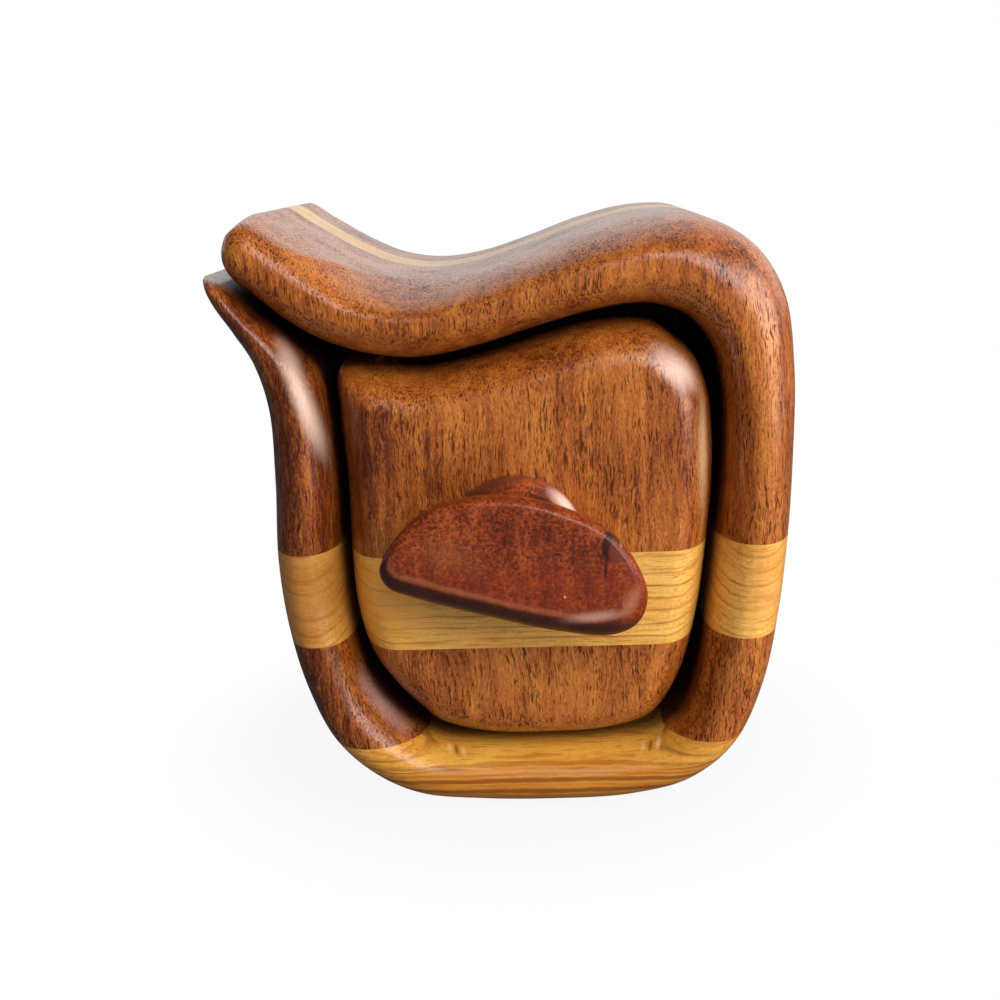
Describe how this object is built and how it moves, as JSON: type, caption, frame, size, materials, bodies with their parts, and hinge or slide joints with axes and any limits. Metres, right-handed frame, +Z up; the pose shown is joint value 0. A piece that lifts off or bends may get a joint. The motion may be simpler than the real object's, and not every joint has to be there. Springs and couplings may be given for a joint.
{
  "type": "trinket box",
  "caption": "Laminated bandsawn wooden trinket box with an S-curved arm over the case and a drawer with a carved pull.",
  "frame": {"origin": "centre of the flat foot under the base, half way between the front and the back of the case", "axes": "+X to the right as the drawer is seen, +Y to the back, +Z up"},
  "size_m": [0.1158, 0.104, 0.1229],
  "materials": {
    "dark_wood": "reddish-brown hardwood with dark pores, satin oil and wax",
    "light_wood": "golden wood with brown growth rings, satin oil and wax",
    "pull_wood": "dark red-brown hardwood, polished"
  },
  "bodies": {
    "case": {"crown_front_board": "dark_wood", "crown_stripe": "light_wood", "crown_rear_board": "dark_wood", "left_post_front_board": "dark_wood", "left_post_stripe": "light_wood", "left_post_rear_board": "dark_wood", "right_wall_band": "light_wood", "right_wall_lower": "dark_wood", "left_wall_band": "light_wood", "left_wall_lower": "dark_wood", "base_board": "light_wood", "back_panel_upper": "dark_wood", "back_panel_band": "light_wood", "back_panel_lower": "dark_wood", "back_panel_base": "light_wood"},
    "drawer": {"drawer_front_upper": "dark_wood", "drawer_front_band": "light_wood", "drawer_front_lower": "dark_wood", "drawer_back_upper": "dark_wood", "drawer_back_band": "light_wood", "drawer_back_lower": "dark_wood", "drawer_left_board": "dark_wood", "drawer_left_stripe": "light_wood", "drawer_left_band": "light_wood", "drawer_right_board": "dark_wood", "drawer_right_stripe": "light_wood", "drawer_right_band": "light_wood", "drawer_trough": "dark_wood", "pull_plate": "pull_wood", "pull_neck": "pull_wood", "pull_dowel": "light_wood"}
  },
  "joints": [
    {"name": "drawer_slide", "type": "slide", "parent": "case", "child": "drawer", "axis": [0, -1, 0], "range_m": [0, 0.085]}
  ]
}
